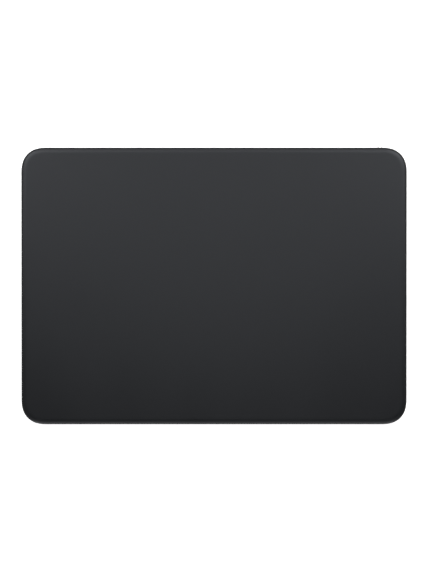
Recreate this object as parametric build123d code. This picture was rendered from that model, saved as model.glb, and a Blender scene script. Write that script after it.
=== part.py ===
from build123d import *
from math import atan, cos, radians, sin, tan
import os

# A low wedge-shaped trackpad. Millimetres, +X to the right, +Y to the rear, +Z up.
# The origin lies on the desk, in the middle of the footprint.

# Outside of the case
width = 160.0
depth = 114.9
front_height = 4.9
rear_height = 10.9
foot_gap = 0.6
corner_lead_radius = 14.0
corner_radius = 8.25
corner_lead_turn = 15.0
bottom_edge_radius = 1.2

# Walls and floor of the case
wall = 2.2
floor_thickness = 1.0

# Top stack: glass, tape frame, bond film, sensor board
glass_thickness = 1.0
glass_step = 0.1
glass_edge_radius = 0.8
tape_thickness = 0.15
tape_width = 1.6
tape_step = 0.4
film_thickness = 0.05
sensor_board_thickness = 0.6
sensor_board_gap = 0.6

# Force-sensing feet
foot_inset = 13.0
pad_radius = 5.2
flange_radius = 5.2
flange_thickness = 0.35
seat_radius = 5.6
seat_depth = 0.5
press_gap = 0.2
hub_radius = 2.8
hub_hole_gap = 0.4
flexure_thickness = 0.4
flexure_boss_height = 0.35
flexure_reach = 16.0
flexure_head_radius = 5.0
flexure_neck_width = 7.0
flexure_root_width = 9.0
flexure_base_width = 14.0
flexure_base_depth = 6.0
flexure_root_gusset = 1.0
flexure_slot_length = 5.0
flexure_slot_width = 2.0
flexure_slot_reach = 6.6
flexure_screw_offset = 4.5
gauge_reach = 11.0
gauge_length = 3.0
gauge_width = 2.0
gauge_thickness = 0.1

# Screws: small ones everywhere, one larger one in each foot
peg_sides = 8
screw_shank_radius = 0.6
screw_head_radius = 1.1
screw_head_height = 0.4
screw_gap = 0.05
screw_bite = 0.7
screw_hole_spare = 0.15
screw_clear_radius = 0.8
foot_screw_shank_radius = 0.8
foot_screw_head_radius = 1.5
foot_screw_head_height = 0.45
foot_screw_bite = 0.85
foot_screw_clear_radius = 0.95

# Ribbons
ribbon_thickness = 0.12
ribbon_bend = 0.4
lane_width = 2.4
lane_gap = 1.8

# Logic board on posts at the rear wall
board_width = 76.0
board_depth = 13.9
board_thickness = 0.8
board_standoff = 1.0
board_wall_gap = 0.35
board_screw_inset_x = 2.5
board_screw_inset_y = 2.2
post_radius = 1.6
connector_height = 0.9
connector_depth = 2.4
connector_margin = 0.8
connector_inset = 1.6
side_ribbon_back = 7.4
rear_ribbon_back = 2.9
can_height = 1.6
can_sheet = 0.2
can_back = 1.5
left_can = (11.0, 7.0, 10.4)
right_can = (12.0, 10.0, 7.4)
chip_height = 0.7
chip_places = ((9.4, 7.6, 2.4, 2.4), (-8.8, 7.0, 1.6, 3.2), (9.4, 11.0, 1.2, 1.2))

# Charging port at the middle of the rear wall
port_width = 8.94
port_height = 3.26
port_depth = 7.35
port_sheet = 0.3
port_recess = 0.3
port_hole_gap = 0.15
port_hole_edge = 0.2
tongue_width = 6.69
tongue_thickness = 0.7
tongue_base_depth = 1.2
tongue_recess = 0.75
contact_count = 12
contact_pitch = 0.5
contact_width = 0.25
contact_length = 3.6
contact_thickness = 0.05
strap_thickness = 0.3
strap_depth = 3.2
strap_ear = 3.4
strap_back = 1.0
strap_side_gap = 0.1

# Power switch near the right end of the rear wall
switch_inset = 12.5
switch_slot_length = 6.4
switch_slot_height = 2.1
switch_slot_corner = 0.6
knob_length = 3.2
knob_end_gap = 0.2
knob_side_gap = 0.15
knob_face_recess = 0.1
knob_ridge_height = 0.3
knob_ridge_width = 0.45
knob_ridge_pitch = 1.4
knob_flange_overlap = 0.6
knob_flange_thickness = 0.4
knob_flange_gap = 0.2
knob_peg_width = 0.9
knob_peg_length = 1.0
knob_peg_gap = 0.15
housing_length = 8.4
housing_depth = 3.6
housing_height = 2.2
housing_wall_gap = 0.25
housing_edge_bevel = 0.3
switch_board_length = 14.4
switch_board_thickness = 0.6
switch_board_tail = 3.0
switch_board_corner = 1.6
switch_screw_offset = 5.7

# Battery
battery_headroom = 0.6
battery_corner_bevel = 1.0
battery_edge_bevel = 0.5
battery_glue_thickness = 0.15
battery_glue_width = 12.0
battery_glue_margin = 3.0
battery_glue_offset = 34.0
battery_board_gap = 0.8
ledge_depth = 3.8
ledge_half_length = 32.0
ledge_thickness = 0.4
guard_board_length = 60.0
guard_board_depth = 3.0
guard_board_thickness = 0.5
guard_chip_height = 0.6
guard_chips = ((-18.0, 4.0), (-9.0, 2.4), (0.0, 2.4), (7.0, 5.0))
battery_lead_inset = 11.0
battery_lead_width = 6.0

# Haptic actuator
haptic_y = -10.9
haptic_length = 44.0
haptic_depth = 23.0
haptic_sheet = 0.4
haptic_boss_height = 0.3
haptic_height = 2.1
haptic_ear_width = 5.0
haptic_ear_depth = 4.4
haptic_battery_gap = 1.0
haptic_float = 0.2
mass_length = 34.8
mass_depth = 19.0
mass_corner_radius = 1.2
mass_travel = 0.3
mass_stop_gap = 0.3
core_length = 19.2
pole_thickness = 1.6
pole_depth = 9.0
bar_depth = 5.0
window_side_gap = 0.5
magnet_thickness = 1.6
magnet_depth = 8.0
coil_wall = 0.4
coil_side = 1.5
coil_length = 7.4
coil_float = 0.05
spring_thickness = 0.2
spring_tab = 2.2
spring_bend = 0.8
spring_half_span = 7.4
haptic_ribbon_x = 12.5
haptic_ribbon_width = 5.0

# Antenna at the left end of the rear wall
antenna_board_gap = 6.0
antenna_corner_gap = 14.0
antenna_depth = 3.2
antenna_height = 5.0
antenna_wall = 0.8
antenna_wall_gap = 0.15
antenna_edge_bevel = 0.6
antenna_foil = 0.1
antenna_foil_margin = 1.0
antenna_slot = 0.9

# Touch ribbon and touch chips
touch_ribbon_width = 12.0
touch_connector_back = 4.5
touch_ribbon_overlap = 3.4
touch_ribbon_lead = 2.6
touch_chip_height = 0.7
touch_chips = ((-30.0, 22.0, 7.0, 7.0), (0.0, 22.0, 9.0, 9.0), (32.0, 22.0, 7.0, 7.0))

# Ribs on the floor in front of the actuator
rib_width = 0.8
rib_height = 0.3
rib_pitch = 16.0
rib_count = 7
rib_margin = 2.0

# Derived levels
floor_top = foot_gap + floor_thickness
tilt = atan((rear_height - front_height) / depth)
middle_height = (front_height + rear_height) / 2
seat_drop = glass_thickness + tape_thickness
stack_thickness = glass_thickness + film_thickness + sensor_board_thickness
seat_top = foot_gap + seat_depth
flange_top = seat_top - press_gap
flange_bottom = flange_top - flange_thickness
flexure_bottom = floor_top + flexure_boss_height
flexure_top = flexure_bottom + flexure_thickness
board_bottom = floor_top + board_standoff
board_top = board_bottom + board_thickness
connector_top = board_top + connector_height
port_middle = board_top + port_height / 2

# Derived places in plan
inner_y = depth / 2 - wall
foot_x = width / 2 - foot_inset
foot_y = depth / 2 - foot_inset
foot_points = [(side_x * foot_x, side_y * foot_y) for side_y in (-1, 1) for side_x in (-1, 1)]
foot_names = ["front_left", "front_right", "rear_left", "rear_right"]
lane_x = foot_x - flexure_base_width / 2 - lane_gap - lane_width / 2
battery_half = lane_x - lane_width / 2 - lane_gap
board_rear = inner_y - board_wall_gap
board_front = board_rear - board_depth
ledge_rear = board_front - battery_board_gap
battery_rear = ledge_rear - ledge_depth
haptic_rear = haptic_y + haptic_depth / 2
battery_front = haptic_rear + haptic_ear_depth + haptic_battery_gap
battery_depth = battery_rear - battery_front
haptic_ear_x = (haptic_length - haptic_ear_width) / 2
haptic_front = haptic_rear - haptic_depth
switch_x = width / 2 - switch_inset
knob_x = switch_x + switch_slot_length / 2 - knob_end_gap - knob_length / 2
port_rear = depth / 2 - port_recess
port_front = port_rear - port_depth
port_screw_x = port_width / 2 + strap_side_gap + strap_thickness + strap_ear / 2
strap_y = board_rear - strap_back - strap_depth / 2
housing_rear = inner_y - knob_flange_gap - knob_flange_thickness - housing_wall_gap
housing_y = housing_rear - housing_depth / 2
switch_board_top = port_middle - housing_height / 2
side_ribbon_y = board_rear - side_ribbon_back
rear_ribbon_y = board_rear - rear_ribbon_back
lead_x = board_width / 2 - battery_lead_inset
antenna_right = -board_width / 2 - antenna_board_gap
antenna_left = antenna_corner_gap - width / 2
antenna_length = antenna_right - antenna_left
antenna_x = (antenna_right + antenna_left) / 2
antenna_y = inner_y - antenna_wall_gap - antenna_depth / 2

deck = Plane(origin=(0, 0, middle_height), x_dir=(1, 0, 0), z_dir=(0, -sin(tilt), cos(tilt)))
deck_half_depth = depth / 2 / cos(tilt)


def ceiling(y):
    """Height of the sensor board's underside over a line across the case."""
    return middle_height + y * tan(tilt) - stack_thickness / cos(tilt)


battery_bottom = floor_top + battery_glue_thickness
battery_top = ceiling(battery_front) - battery_headroom
haptic_bottom = floor_top + haptic_boss_height
haptic_floor = haptic_bottom + haptic_sheet
haptic_top = haptic_floor + haptic_height
mass_bottom = haptic_floor + haptic_float
mass_top = haptic_top - haptic_float
guard_top = battery_bottom + battery_edge_bevel + ledge_thickness + guard_board_thickness


# Drawing helpers
def rounded_outline(half_x, half_y, inset):
    """Rounded rectangle whose corners tighten from a lead-in arc to the main arc and open again."""
    lead = corner_lead_radius - inset
    tight = corner_radius - inset
    turn = radians(corner_lead_turn)
    reach = lead * sin(turn) + tight * (cos(turn) - sin(turn)) + lead * (1 - cos(turn))
    side_x = half_x - inset
    side_y = half_y - inset
    pen = Vector(reach - side_x, -side_y)
    heading = Vector(1, 0)
    line = Curve()
    for half in (side_x, side_y, side_x, side_y):
        side = Line(pen, pen + heading * 2 * (half - reach))
        opening = JernArc(side @ 1, side % 1, lead, corner_lead_turn)
        middle = JernArc(opening @ 1, opening % 1, tight, 90 - 2 * corner_lead_turn)
        closing = JernArc(middle @ 1, middle % 1, lead, corner_lead_turn)
        line += [side, opening, middle, closing]
        pen = closing @ 1
        heading = closing % 1
    return make_face(line)


def case_outline(inset):
    return rounded_outline(width / 2, depth / 2, inset)


def deck_sheet(inset, top, bottom):
    """Sheet with the case's outline lying in the sloping deck, between two depths under its face."""
    sheet = extrude(rounded_outline(width / 2, deck_half_depth, inset), amount=bottom - top)
    return deck.location * Pos(0, 0, -bottom) * sheet


def upright(sketch, low, high):
    return Pos(0, 0, low) * extrude(sketch, amount=high - low)


def block(size_x, size_y, low, high, x=0, y=0):
    return upright(Pos(x, y) * Rectangle(size_x, size_y), low, high)


def rod(radius, low, high, x=0, y=0):
    return upright(Pos(x, y) * Circle(radius), low, high)


def through_rear(sketch, front, rear, x, z):
    """Body drawn in the plane of the rear wall, running from one depth to another."""
    return Pos(x, front, z) * extrude(Plane.XZ * sketch, amount=front - rear)


def peg(radius, low, high, x=0, y=0):
    """Light form of a small round hole, post or shank: a bar with a few flat sides."""
    return upright(Pos(x, y) * RegularPolygon(radius, peg_sides), low, high)


def screw(x, y, seat, shank_radius, head_radius, head_height, length):
    """Screw whose head rests at the seat height."""
    return peg(head_radius, seat, seat + head_height, x, y) + peg(shank_radius, seat - length, seat, x, y)


def small_screw(x, y, seat, through):
    """Small screw that holds a sheet of the given thickness to a boss."""
    length = through + screw_bite
    return screw(x, y, seat, screw_shank_radius, screw_head_radius, screw_head_height, length)


def screw_hole(x, y, top):
    """Blind hole for a small screw in the top of a boss."""
    bottom = top - screw_bite - screw_hole_spare
    return peg(screw_shank_radius + screw_gap, bottom, top, x, y)


def ribbon(points, ribbon_width, place, along_x):
    """Flat cable bent along a side view, lying over the given points as seen while drawing."""
    path = FilletPolyline(*points, radius=ribbon_bend)
    outline = make_face(offset(path, amount=ribbon_thickness, side=Side.LEFT))
    if along_x:
        return Pos(0, place, 0) * extrude(Plane.XZ * outline, amount=ribbon_width / 2, both=True)
    return Pos(place, 0, 0) * extrude(Plane.YZ * outline, amount=ribbon_width / 2, both=True)


def at_foot(shape, x, y):
    """Place a shape drawn round a foot, its arm turned to the middle of the case."""
    return Pos(x, y) * Rot(Z=0 if y < 0 else 180) * shape


def flexure_screw_points():
    return [(side * flexure_screw_offset, flexure_reach) for side in (-1, 1)]


def haptic_screw_points():
    edge = haptic_depth / 2 + haptic_ear_depth / 2
    return [(a * haptic_ear_x, haptic_y + b * edge) for a in (-1, 1) for b in (-1, 1)]


def board_screw_points():
    y = board_front + board_screw_inset_y
    return [(side * (board_width / 2 - board_screw_inset_x), y) for side in (-1, 1)]


def port_screw_points():
    return [(side * port_screw_x, strap_y) for side in (-1, 1)]


def switch_screw_points():
    return [(switch_x + side * switch_screw_offset, housing_y) for side in (-1, 1)]


# Lower case
def case_shell():
    """Wedge with a hollow, cut off where the tape frame rests."""
    body = upright(case_outline(0), foot_gap, rear_height)
    body = split(body, bisect_by=deck.offset(-seat_drop), keep=Keep.BOTTOM)
    body = fillet(body.faces().sort_by(Axis.Z)[0].edges(), bottom_edge_radius)
    return body - upright(case_outline(wall), floor_top, rear_height)


def case_bosses():
    """Everything that stands on the floor of the case."""
    parts = []
    base = Rectangle(flexure_base_width, flexure_base_depth)
    for x, y in foot_points:
        parts.append(at_foot(upright(Pos(0, flexure_reach) * base, foot_gap, flexure_bottom), x, y))
    for x, y in haptic_screw_points():
        parts.append(peg(post_radius, foot_gap, haptic_bottom, x, y))
    for x, y in board_screw_points() + port_screw_points():
        parts.append(peg(post_radius, foot_gap, board_bottom, x, y))
    for x, y in switch_screw_points():
        parts.append(peg(post_radius, foot_gap, switch_board_top - switch_board_thickness, x, y))
    return parts


def case_ribs():
    """Low stiffening grid in front of the actuator."""
    rib_front = rib_margin - inner_y
    rib_rear = haptic_front - haptic_ear_depth - rib_margin
    rib_y = (rib_front + rib_rear) / 2
    half = (rib_count - 1) / 2
    rib_top = floor_top + rib_height
    grid = [block(rib_width, rib_rear - rib_front, foot_gap, rib_top, (i - half) * rib_pitch, rib_y)
            for i in range(rib_count)]
    grid.append(block(rib_pitch * (rib_count - 1), rib_width, foot_gap, rib_top, 0, rib_y))
    return grid


def foot_seat(x, y):
    """Stepped hole that takes a foot from below."""
    return rod(seat_radius, 0, seat_top, x, y) + peg(hub_radius + hub_hole_gap, 0, floor_top, x, y)


def port_hole():
    hole = SlotOverall(port_width + 2 * port_hole_gap, port_height + 2 * port_hole_gap)
    return through_rear(hole, inner_y - wall, depth / 2, 0, port_middle)


def switch_hole():
    hole = RectangleRounded(switch_slot_length, switch_slot_height, switch_slot_corner)
    return through_rear(hole, inner_y - wall, depth / 2, switch_x, port_middle)


def lower_case():
    body = case_shell()
    body += case_bosses() + case_ribs()
    for x, y in foot_points:
        body -= foot_seat(x, y)
        for a, b in flexure_screw_points():
            body -= at_foot(screw_hole(a, b, flexure_bottom), x, y)
    for x, y in haptic_screw_points():
        body -= screw_hole(x, y, haptic_bottom)
    for x, y in board_screw_points() + port_screw_points():
        body -= screw_hole(x, y, board_bottom)
    for x, y in switch_screw_points():
        body -= screw_hole(x, y, switch_board_top - switch_board_thickness)
    body -= port_hole() + switch_hole()
    rear_face = (depth / 2 - port_hole_edge, depth / 2 + port_hole_edge)
    mouth = body.edges().filter_by_position(Axis.Y, *rear_face)
    mouth = [e for e in mouth if abs(e.center().X) < port_width and e.length < port_width]
    return chamfer(mouth, port_hole_edge)


# Top stack
def top_glass():
    """Glass plate with a long rounding on the upper edge."""
    plate = deck_sheet(glass_step, 0, glass_thickness)
    face = plate.faces().sort_by(Axis((0, 0, 0), tuple(deck.z_dir)))[-1]
    return fillet(face.edges(), glass_edge_radius)


def glass_adhesive():
    outer = deck_sheet(tape_step, glass_thickness, seat_drop)
    return outer - deck_sheet(tape_step + tape_width, glass_thickness, seat_drop)


def sensor_bond_film():
    return deck_sheet(wall + sensor_board_gap, glass_thickness, glass_thickness + film_thickness)


def touch_sensor_board():
    return deck_sheet(wall + sensor_board_gap, glass_thickness + film_thickness, stack_thickness)


def touch_controller_chips():
    group = []
    for x, y, size_x, size_y in touch_chips:
        chip = block(size_x, size_y, -stack_thickness - touch_chip_height, -stack_thickness, x, y)
        group.append(deck.location * chip)
    return group


# Force-sensing foot
def foot_pad():
    return rod(pad_radius, 0, flange_bottom)


def foot_carrier():
    """Button with a flange under the floor and a hub that comes up through it."""
    button = rod(flange_radius, flange_bottom, flange_top) + peg(hub_radius, flange_top, flexure_bottom)
    hole_bottom = flexure_bottom - foot_screw_bite - screw_hole_spare
    return button - peg(foot_screw_shank_radius + screw_gap, hole_bottom, flexure_bottom)


def foot_screw():
    length = flexure_thickness + foot_screw_bite
    return screw(0, 0, flexure_top, foot_screw_shank_radius, foot_screw_head_radius,
                 foot_screw_head_height, length)


def flexure():
    """Spring arm: round head on the hub, two beams beside a slot, wide base on the boss."""
    root_y = flexure_reach - flexure_base_depth / 2
    neck = make_face(Polyline(
        (-flexure_neck_width / 2, 0), (flexure_neck_width / 2, 0),
        (flexure_root_width / 2, root_y), (flexure_root_width / 2, flexure_reach),
        (-flexure_root_width / 2, flexure_reach), (-flexure_root_width / 2, root_y), close=True))
    base = Rectangle(flexure_base_width, flexure_base_depth)
    plate = Circle(flexure_head_radius) + neck + Pos(0, flexure_reach) * base
    near = flexure_thickness
    roots = [v for v in plate.vertices()
             if abs(v.Y - root_y) < near and abs(abs(v.X) * 2 - flexure_root_width) < near]
    plate = chamfer(roots, flexure_root_gusset)
    plate -= Pos(0, flexure_slot_reach) * SlotOverall(flexure_slot_length, flexure_slot_width, rotation=90)
    plate -= RegularPolygon(foot_screw_clear_radius, peg_sides)
    for x, y in flexure_screw_points():
        plate -= Pos(x, y) * RegularPolygon(screw_clear_radius, peg_sides)
    return upright(plate, flexure_bottom, flexure_top)


def strain_gauges():
    low = flexure_top + ribbon_thickness
    patch = block(gauge_length, gauge_width, low, low + gauge_thickness, 0, gauge_reach)
    return [at_foot(patch, x, y) for x, y in foot_points]


def flexure_screws():
    return [at_foot(small_screw(a, b, flexure_top, flexure_thickness), x, y)
            for x, y in foot_points for a, b in flexure_screw_points()]


def sensor_flex_right():
    """Ribbon along the side, with an arm up to each gauge and one to the logic board."""
    gauge_y = foot_y - gauge_reach
    lane_front = -gauge_y - lane_width / 2
    lane_rear = side_ribbon_y + lane_width / 2
    body = block(lane_width, lane_rear - lane_front, floor_top, floor_top + ribbon_thickness,
                 lane_x, (lane_rear + lane_front) / 2)
    rise_start = foot_x - flexure_head_radius - lane_width - ribbon_bend
    rise_end = foot_x - flexure_head_radius
    arm = [(lane_x, floor_top), (rise_start, floor_top), (rise_end, flexure_top),
           (foot_x + gauge_length, flexure_top)]
    for y in (-gauge_y, gauge_y):
        body += Pos(0, y, 0) * Rot(Z=180) * ribbon([(-x, z) for x, z in reversed(arm)], lane_width, 0, True)
    body += ribbon(side_run(lane_x), lane_width, side_ribbon_y, True)
    return body


def side_run(start_x):
    """Side view of a ribbon on the floor that climbs on to a socket at the board's end."""
    edge = board_width / 2
    ramp = edge + connector_inset
    return [(edge - connector_inset - connector_depth, connector_top), (ramp, connector_top),
            (ramp + lane_width, floor_top), (start_x, floor_top)]


# Haptic actuator
def haptic_base_frame():
    """Tray with two end walls and four screw ears."""
    tray = block(haptic_length, haptic_depth, haptic_bottom, haptic_floor, 0, haptic_y)
    for side in (-1, 1):
        x = side * (haptic_length - haptic_sheet) / 2
        tray += block(haptic_sheet, haptic_depth, haptic_floor, haptic_top, x, haptic_y)
    ear = Rectangle(haptic_ear_width, haptic_ear_depth)
    for x, y in haptic_screw_points():
        tray += upright(Pos(x, y) * ear, haptic_bottom, haptic_floor)
    for x, y in haptic_screw_points():
        tray -= peg(screw_clear_radius, haptic_bottom, haptic_floor, x, y)
    return tray


def haptic_core():
    """Iron bar raised between two pole shoes that rest on the tray."""
    bar_low = mass_bottom + coil_wall
    bar_high = mass_top - coil_wall
    core = block(core_length, bar_depth, bar_low, bar_high, 0, haptic_y)
    for side in (-1, 1):
        x = side * (core_length - pole_thickness) / 2
        core += block(pole_thickness, pole_depth, haptic_floor, mass_top, x, haptic_y)
    return core


def haptic_coils():
    """Two windings round the bar, one beside each pole shoe."""
    bar_high = mass_top - mass_bottom - 2 * coil_wall
    coil_high = mass_top - mass_bottom - 2 * coil_float
    outer = Rectangle(bar_depth + 2 * coil_side, coil_high)
    outer = chamfer(outer.vertices(), coil_wall - coil_float)
    ring = outer - Rectangle(bar_depth, bar_high)
    middle = (mass_top + mass_bottom) / 2
    coil = extrude(Plane.YZ * ring, amount=coil_length / 2, both=True)
    x = core_length / 2 - pole_thickness - coil_length / 2
    return [Pos(side * x, haptic_y, middle) * coil for side in (-1, 1)]


def window_half():
    return core_length / 2 + mass_travel + mass_stop_gap + magnet_thickness


def haptic_mass():
    plan = RectangleRounded(mass_length, mass_depth, mass_corner_radius)
    plan -= Rectangle(2 * window_half(), pole_depth + 2 * window_side_gap)
    return upright(Pos(0, haptic_y) * plan, mass_bottom, mass_top)


def haptic_magnets():
    x = window_half() - magnet_thickness / 2
    low = mass_bottom
    return [block(magnet_thickness, magnet_depth, low, mass_top, side * x, haptic_y) for side in (-1, 1)]


def leaf_spring(side):
    """Blade with a tab on the mass, a slanting leaf and a tab on the tray's end wall."""
    start_x = mass_length / 2
    end_x = haptic_length / 2 - haptic_sheet - spring_thickness
    path = FilletPolyline(
        (start_x, spring_half_span), (start_x, spring_half_span - spring_tab),
        (end_x, spring_tab - spring_half_span), (end_x, -spring_half_span), radius=spring_bend)
    near = offset(path, amount=spring_thickness, side=Side.LEFT)
    blade = Pos(0, haptic_y) * Rot(Z=0 if side > 0 else 180) * make_face(near)
    return upright(blade, mass_bottom, mass_top)


def haptic_screws():
    return [small_screw(x, y, haptic_floor, haptic_sheet) for x, y in haptic_screw_points()]


def haptic_flex():
    """Ribbon from the tray, over the battery, to the logic board."""
    step = haptic_battery_gap
    points = [(haptic_rear - step, haptic_floor), (battery_front - 4 * step, haptic_floor),
              (battery_front - step, battery_top), (battery_rear, battery_top),
              (battery_rear + 2 * step, connector_top), (board_front + connector_inset + step, connector_top)]
    return ribbon(points, haptic_ribbon_width, haptic_ribbon_x, False)


# Battery
def battery_cell():
    """Flat pouch with rounded edges and a sealed ledge on its rear side."""
    y = (battery_front + battery_rear) / 2
    pouch = block(2 * battery_half, battery_depth, battery_bottom, battery_top, 0, y)
    pouch = chamfer(pouch.edges().filter_by(Axis.Z), battery_corner_bevel)
    pouch = chamfer(pouch.faces().filter_by(Axis.Z).edges(), battery_edge_bevel)
    ledge_front = battery_rear - battery_corner_bevel
    ledge_low = battery_bottom + battery_edge_bevel
    ledge = block(2 * ledge_half_length, ledge_rear - ledge_front, ledge_low, ledge_low + ledge_thickness,
                  0, (ledge_rear + ledge_front) / 2)
    return pouch + ledge


def battery_adhesive():
    y = (battery_front + battery_rear) / 2
    length = battery_depth - 2 * battery_glue_margin
    return [block(battery_glue_width, length, floor_top, battery_bottom, side * battery_glue_offset, y)
            for side in (-1, 1)]


def battery_protection_board():
    low = battery_bottom + battery_edge_bevel + ledge_thickness
    y = (battery_rear + ledge_rear) / 2
    board = block(guard_board_length, guard_board_depth, low, guard_top, 0, y)
    for x, length in guard_chips:
        board += block(length, guard_board_depth / 2, guard_top, guard_top + guard_chip_height, x, y)
    return board


def battery_lead():
    y = (battery_rear + ledge_rear) / 2
    points = [(y - guard_board_depth / 2, guard_top), (y, guard_top),
              (board_front - battery_board_gap, connector_top),
              (board_front + connector_inset * 2, connector_top)]
    return ribbon(points, battery_lead_width, lead_x, False)


# Electronics
def logic_board():
    y = (board_front + board_rear) / 2
    board = block(board_width, board_depth, board_bottom, board_top, 0, y)
    for x, y in board_screw_points() + port_screw_points():
        board -= peg(screw_clear_radius, board_bottom, board_top, x, y)
    return board


def shield_can(side, inner, end_gap, size_y):
    """Pressed can from a distance beside the middle to a distance from the board's end."""
    outer = board_width / 2 - end_gap
    x = side * (outer + inner) / 2
    size_x = outer - inner
    y = board_rear - can_back - size_y / 2
    outside = block(size_x, size_y, board_top, board_top + can_height, x, y)
    outside = chamfer(outside.faces().sort_by(Axis.Z)[-1].edges(), can_sheet)
    inside_x = size_x - 2 * can_sheet
    inside_y = size_y - 2 * can_sheet
    return outside - block(inside_x, inside_y, board_top, board_top + can_height - can_sheet, x, y)


def shield_cans():
    return [shield_can(-1, *left_can), shield_can(1, *right_can)]


def board_chips():
    return [block(size_x, size_y, board_top, board_top + chip_height, x, board_front + y)
            for x, y, size_x, size_y in chip_places]


def socket(size_x, size_y, x, y):
    return block(size_x, size_y, board_top, connector_top, x, y)


def board_connectors():
    """Sockets under the ends of the ribbons."""
    front_y = board_front + connector_inset
    end_x = board_width / 2 - connector_inset - connector_depth / 2
    long_side = lane_width + 2 * connector_margin
    touch_y = board_front + touch_connector_back
    group = [
        socket(battery_lead_width + 2 * connector_margin, connector_depth, lead_x, front_y),
        socket(haptic_ribbon_width + 2 * connector_margin, connector_depth, haptic_ribbon_x, front_y),
        socket(touch_ribbon_width + 2 * connector_margin, connector_depth, 0, touch_y),
        socket(connector_depth, long_side, end_x, side_ribbon_y),
        socket(connector_depth, long_side, -end_x, side_ribbon_y),
        socket(connector_depth, long_side, end_x, rear_ribbon_y),
        socket(connector_depth, long_side, -end_x, rear_ribbon_y)]
    return group


def board_screws():
    return [small_screw(x, y, board_top, board_thickness) for x, y in board_screw_points()]


def port_shell():
    outside = through_rear(SlotOverall(port_width, port_height), port_front, port_rear, 0, port_middle)
    inside = SlotOverall(port_width - 2 * port_sheet, port_height - 2 * port_sheet)
    return outside - through_rear(inside, port_front, port_rear, 0, port_middle)


def port_tongue():
    """Plug block that closes the shell, with the flat tongue standing out of it."""
    plug = SlotOverall(port_width - 2 * port_sheet, port_height - 2 * port_sheet)
    body = through_rear(plug, port_front, port_front + tongue_base_depth, 0, port_middle)
    flat = Rectangle(tongue_width, tongue_thickness)
    return body + through_rear(flat, port_front, port_rear - tongue_recess, 0, port_middle)


def port_contacts():
    group = []
    front = port_front + tongue_base_depth
    strip = Rectangle(contact_width, contact_thickness)
    lift = (tongue_thickness + contact_thickness) / 2
    for i in range(contact_count):
        x = (i - (contact_count - 1) / 2) * contact_pitch
        for side in (-1, 1):
            group.append(through_rear(strip, front, front + contact_length, x, port_middle + side * lift))
    return group


def port_bracket():
    """Strap bent over the shell, with an ear on the board at each side."""
    half = port_width / 2 + strap_side_gap
    leg = half + strap_thickness
    crown = board_top + port_height
    ear_end = leg + strap_ear
    low = board_top + strap_thickness
    outline = make_face(Polyline(
        (-ear_end, board_top), (-half, board_top), (-half, crown), (half, crown), (half, board_top),
        (ear_end, board_top), (ear_end, low), (leg, low), (leg, crown + strap_thickness),
        (-leg, crown + strap_thickness), (-leg, low), (-ear_end, low), close=True))
    strap = Pos(0, strap_y, 0) * extrude(Plane.XZ * outline, amount=strap_depth / 2, both=True)
    for x, y in port_screw_points():
        strap -= peg(screw_clear_radius, board_top, low, x, y)
    return strap


def port_screws():
    seat = board_top + strap_thickness
    return [small_screw(x, y, seat, strap_thickness + board_thickness) for x, y in port_screw_points()]


# Antenna
def antenna_carrier():
    """Hollow plastic block on the floor beside the rear wall."""
    top = floor_top + antenna_height
    body = block(antenna_length, antenna_depth, floor_top, top, antenna_x, antenna_y)
    body = chamfer(body.edges().filter_by(Axis.Z), antenna_edge_bevel)
    hollow = block(antenna_length - 2 * antenna_wall, antenna_depth - 2 * antenna_wall, floor_top,
                   top - antenna_wall, antenna_x, antenna_y)
    return body - hollow


def antenna_element():
    """Foil on top of the carrier, cut into a fold by slots from both sides."""
    low = floor_top + antenna_height
    length = antenna_length - 2 * antenna_foil_margin
    span = antenna_depth - antenna_foil_margin
    foil = block(length, span, low, low + antenna_foil, antenna_x, antenna_y)
    for i in (-1, 0, 1):
        shift = antenna_slot if i else -antenna_slot
        x = antenna_x + i * length / 4
        foil -= block(antenna_slot, span, low, low + antenna_foil, x, antenna_y + shift)
    return foil


def antenna_flex():
    """Ribbon on the floor from the carrier to its socket at the board's left end."""
    points = [(-x, z) for x, z in reversed(side_run(-antenna_right))]
    return ribbon(points, lane_width, rear_ribbon_y, True)


# Power switch
def power_switch_knob():
    """Thumb piece in the slot: ridged face, flange behind the wall, peg into the housing."""
    knob_height = switch_slot_height - 2 * knob_side_gap
    face = RectangleRounded(knob_length, knob_height, switch_slot_corner - knob_side_gap)
    face_y = depth / 2 - knob_face_recess
    flange_rear = inner_y - knob_flange_gap
    flange_front = flange_rear - knob_flange_thickness
    knob = through_rear(face, flange_rear, face_y, knob_x, port_middle)
    grip = Rectangle(knob_ridge_width, knob_height - 2 * knob_side_gap)
    for side in (-1, 1):
        x = knob_x + side * knob_ridge_pitch / 2
        knob += through_rear(grip, flange_rear, face_y + knob_ridge_height, x, port_middle)
    overlap = 2 * knob_flange_overlap
    flange = Rectangle(knob_length + overlap, switch_slot_height + overlap)
    knob += through_rear(flange, flange_front, flange_rear, knob_x, port_middle)
    peg = Rectangle(knob_peg_width, knob_peg_width)
    return knob + through_rear(peg, housing_rear - knob_peg_length, flange_front, knob_x, port_middle)


def power_switch_housing():
    """Plastic block with a groove in which the knob's peg slides."""
    top = switch_board_top + housing_height
    body = block(housing_length, housing_depth, switch_board_top, top, switch_x, housing_y)
    body = chamfer(body.edges().filter_by(Axis.Z), housing_edge_bevel)
    travel = switch_slot_length - knob_length - 2 * knob_end_gap
    groove = Rectangle(knob_peg_width + travel + 2 * knob_peg_gap, knob_peg_width + 2 * knob_peg_gap)
    deep = housing_rear - knob_peg_length - knob_peg_gap
    return body - through_rear(groove, deep, housing_rear, knob_x - travel / 2, port_middle)


def switch_board():
    low = switch_board_top - switch_board_thickness
    length = switch_board_length + switch_board_tail
    outline = RectangleRounded(length, housing_depth, switch_board_corner)
    board = upright(Pos(switch_x - switch_board_tail / 2, housing_y) * outline, low, switch_board_top)
    for x, y in switch_screw_points():
        board -= peg(screw_clear_radius, low, switch_board_top, x, y)
    return board


def switch_screws():
    return [small_screw(x, y, switch_board_top, switch_board_thickness) for x, y in switch_screw_points()]


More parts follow.
